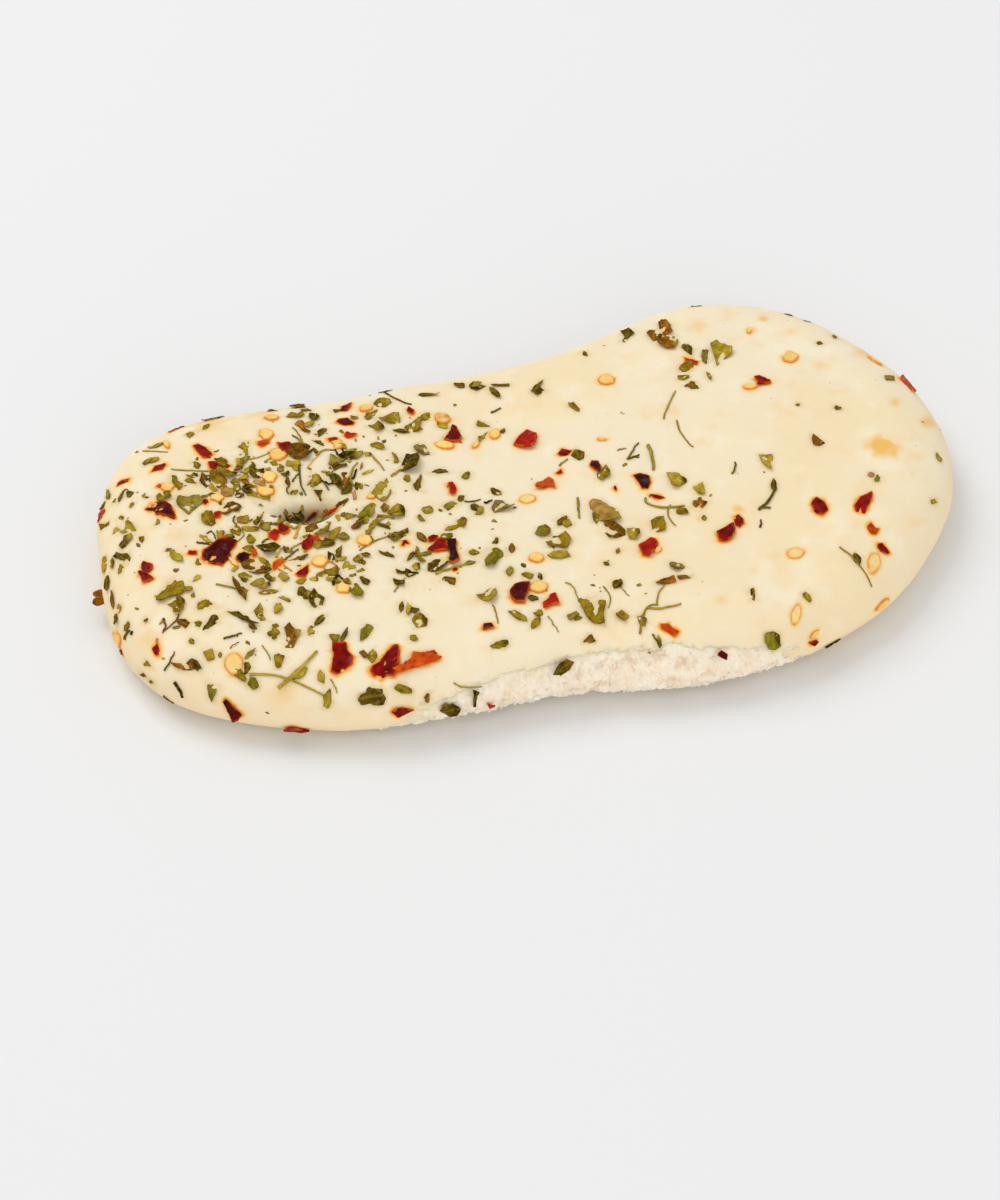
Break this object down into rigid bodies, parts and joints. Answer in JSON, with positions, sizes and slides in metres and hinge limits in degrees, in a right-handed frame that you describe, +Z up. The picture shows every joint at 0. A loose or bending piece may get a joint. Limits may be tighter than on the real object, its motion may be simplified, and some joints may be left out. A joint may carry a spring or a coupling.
{
  "type": "masala kulcha flatbread",
  "caption": "Thick soft oblong leavened flatbread strewn with dried herb flakes, chilli flakes and chilli seeds, torn along one long edge, lying flat with the shown side up",
  "frame": {"origin": "Middle of the flat underside of the bread, on the surface that it lies on", "axes": "+X along the length of the bread towards the wider, rounder end, +Y towards the back edge with the shallow waist, away from the torn front edge, +Z up"},
  "size_m": [0.1898, 0.1125, 0.018],
  "materials": {
    "bread": "soft pale bread skin, barely baked, satin with a trace of oil, translucent at the surface",
    "crumb": "torn white bread crumb, fully matt and fibrous",
    "herb": "dried crumpled herb leaf and stem, olive green to brown, matt",
    "chilli": "dried chilli skin, deep red to maroon, glossy",
    "seed": "chilli seed, pale yellow with an amber rim, satin"
  },
  "bodies": {
    "root": {"kulcha": "bread"}
  },
  "joints": []
}
